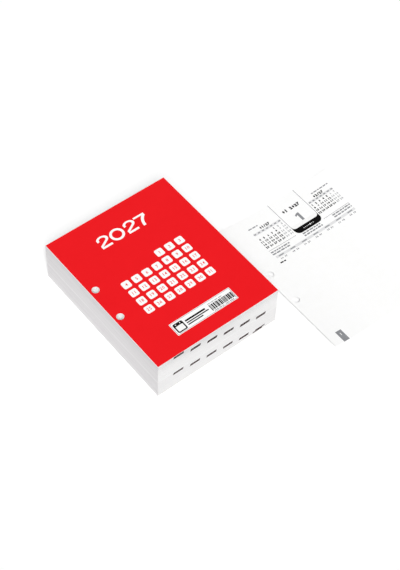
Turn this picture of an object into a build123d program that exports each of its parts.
from build123d import *
import math
import os

# A day calendar block that lies flat on a desk: one leaf for each day, stacked on a pale board under a card
# cover, punched with two holes for the posts of a desk stand and gummed along the punched edge so that the
# leaves tear off. The first leaf has been torn off and lies beside the block.
# X runs across the page from the punched edge, Y from the foot of the page to its head, Z up.
# The origin is in the middle of the block's underside.

# Driving dimensions in millimetres

leaf_width = 105.0
leaf_length = 130.0
leaf_thickness = 0.08

# How far apart the leaves lie: the first half of the year is looser than the half that it rests on
first_half_pitch = 0.1025
second_half_pitch = 0.0815

cover_thickness = 0.35
board_thickness = 1.0
divider_thickness = 0.3

# The pair of holes sits a little below the middle of the page
hole_diameter = 5.5
hole_spacing = 28.5
hole_edge_distance = 4.9
hole_pair_drop = 2.3

gum_thickness = 0.2

label_width = 52.5
label_height = 11.2
label_thickness = 0.08
label_from_punched_edge = 26.5
label_from_foot = 11.7

# The torn leaf lies beside the block's free edge, nearer the foot. It was pulled up by its punched edge and
# has kept a curl along both long edges: a strip of paper so wide, bent so many degrees at the edge.
torn_leaf_gap = 17.0
torn_leaf_shift = 45.5
punched_curl_width = 45.0
punched_curl_degrees = 8.0
free_curl_width = 35.0
free_curl_degrees = 6.5

# Leaves in each month's bundle, from the board up. January has lost the leaf that lies beside the block,
# and its next leaf is a piece of its own.
days_in_second_half = {
    "december": 31,
    "november": 30,
    "october": 31,
    "september": 30,
    "august": 31,
    "july": 31,
}
days_in_first_half = {
    "june": 30,
    "may": 31,
    "april": 30,
    "march": 31,
    "february": 28,
    "january": 29,
}

# Places worked out from the driving dimensions

punched_edge_x = -leaf_width / 2
foot_y = -leaf_length / 2
hole_x = punched_edge_x + hole_edge_distance
hole_rows = (-hole_pair_drop - hole_spacing / 2, -hole_pair_drop + hole_spacing / 2)
torn_leaf_x = leaf_width + torn_leaf_gap
torn_leaf_y = -torn_leaf_shift


def punch_holes():
    """The outlines of the two punched holes, flat on the desk plane."""
    return [Pos(hole_x, hole_y) * Circle(hole_diameter / 2) for hole_y in hole_rows]


def punched_sheet(thickness):
    """A leaf, a bundle of leaves or a card, trimmed square and punched, lying on its own underside."""
    outline = Rectangle(leaf_width, leaf_length)
    outline -= punch_holes()
    return extrude(outline, thickness)


def bent(distance, height, width, degrees):
    """How far along and how high a point of a curl lies, from its distance and height on the flat strip."""
    radius = width / math.radians(degrees)
    turn = distance / radius
    return (radius - height) * math.sin(turn), radius - (radius - height) * math.cos(turn)


def curled_side(height):
    """One side of the curled leaf's section: an arc, a straight middle and an arc, and its two ends."""
    flat_start = (punched_edge_x + punched_curl_width, height)
    flat_end = (-punched_edge_x - free_curl_width, height)
    reach, rise = bent(punched_curl_width, height, punched_curl_width, punched_curl_degrees)
    far_reach, far_rise = bent(free_curl_width, height, free_curl_width, free_curl_degrees)
    ends = (flat_start[0] - reach, rise), (flat_end[0] + far_reach, far_rise)
    side = [
        TangentArc(flat_start, ends[0], tangent=(-1, 0)),
        Line(flat_start, flat_end),
        TangentArc(flat_end, ends[1], tangent=(1, 0)),
    ]
    return side, ends


def curled_leaf():
    """A single punched leaf that touches the desk along its middle and rises at its two long edges."""
    underside, lower_ends = curled_side(0)
    upper_side, upper_ends = curled_side(leaf_thickness)
    edges = [Line(lower, upper) for lower, upper in zip(lower_ends, upper_ends)]
    section = Plane.XZ * make_face(underside + upper_side + edges)
    leaf = extrude(section, leaf_length / 2, both=True)
    from_bend = punched_curl_width - hole_edge_distance
    reach, rise = bent(from_bend, 0, punched_curl_width, punched_curl_degrees)
    tilt = punched_curl_degrees * from_bend / punched_curl_width
    punch = Rot(0, tilt, 0) * Cylinder(hole_diameter / 2, 10 * leaf_thickness)
    hole_place = punched_edge_x + punched_curl_width - reach
    return leaf - [Pos(hole_place, hole_y, rise) * punch for hole_y in hole_rows]


def gum_strip(thickness):
    """The share of the dried gum film that covers one layer's edge along the punched side."""
    strip = Box(gum_thickness, leaf_length, thickness, align=(Align.MAX, Align.CENTER, Align.MIN))
    return Pos(punched_edge_x, 0) * strip


def stack_layers():
    """Every layer of the block from the desk up, as its node's name, its gum's name and its thickness."""
    layers = [("backing_board", "board_gum", board_thickness)]
    for month, days in days_in_second_half.items():
        layers.append((f"{month}_leaves", f"{month}_gum", days * second_half_pitch))
    layers.append(("half_year_divider", "divider_gum", divider_thickness))
    for month, days in days_in_first_half.items():
        layers.append((f"{month}_leaves", f"{month}_gum", days * first_half_pitch))
    layers.append(("top_day_leaf", "top_leaf_gum", leaf_thickness))
    layers.append(("cover", "cover_gum", cover_thickness))
    return layers


def cover_label():
    """The self-adhesive label near the foot of the cover, lying on its own underside."""
    label = Box(label_width, label_height, label_thickness, align=Align.MIN)
    return Pos(punched_edge_x + label_from_punched_edge, foot_y + label_from_foot) * label


def build_nodes():
    """All pieces of the calendar in their places, by node name."""
    nodes = {}
    level = 0.0
    for sheet_name, gum_name, thickness in stack_layers():
        nodes[sheet_name] = Pos(0, 0, level) * punched_sheet(thickness)
        nodes[gum_name] = Pos(0, 0, level) * gum_strip(thickness)
        level += thickness
    nodes["cover_label"] = Pos(0, 0, level) * cover_label()
    nodes["torn_day_leaf"] = Pos(torn_leaf_x, torn_leaf_y) * curled_leaf()
    print(f"block height {level:.3f} mm without the label")
    return nodes


os.makedirs("parts", exist_ok=True)
for name, solid in build_nodes().items():
    solid.label = name
    export_step(solid, f"parts/{name}.step")
